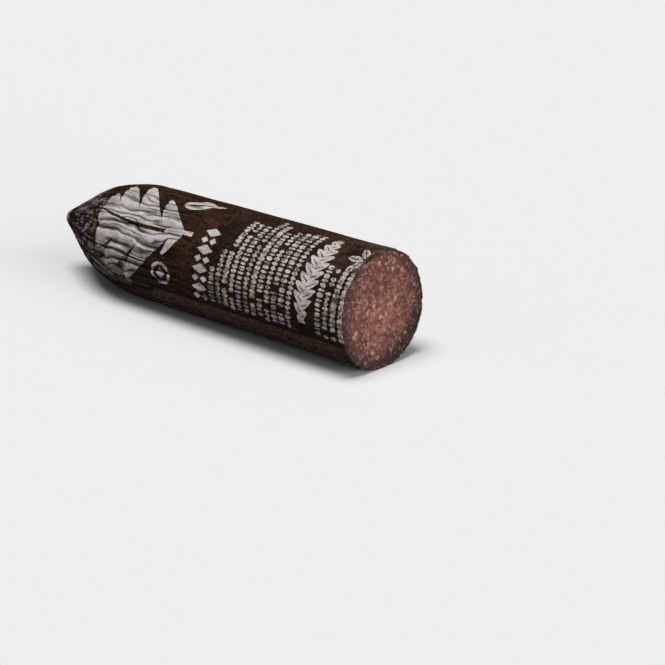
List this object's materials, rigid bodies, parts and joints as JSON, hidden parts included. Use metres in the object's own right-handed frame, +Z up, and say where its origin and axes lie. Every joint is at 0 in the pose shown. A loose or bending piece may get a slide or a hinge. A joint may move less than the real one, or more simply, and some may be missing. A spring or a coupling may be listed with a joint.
{
  "type": "cured sausage",
  "caption": "Cured sausage in a dark printed casing, lying on its side, gathered to a blunt point at one end and cut straight across at the other to show the meat.",
  "frame": {"origin": "middle of the length and width, on the surface that the sausage lies on", "axes": "+X along the sausage from the gathered tip to the cut face, +Z up, away from the flat spot that it rests on"},
  "size_m": [0.233, 0.0604, 0.0593],
  "materials": {
    "casing": "dark brown fibrous casing, wrinkled lengthwise, with a worn off-white print and a low sheen",
    "meat": "fine-grained red-brown cured meat with small pale fat grains and a darker dried edge"
  },
  "bodies": {
    "root": {"casing": "casing", "meat": "meat"}
  },
  "joints": []
}
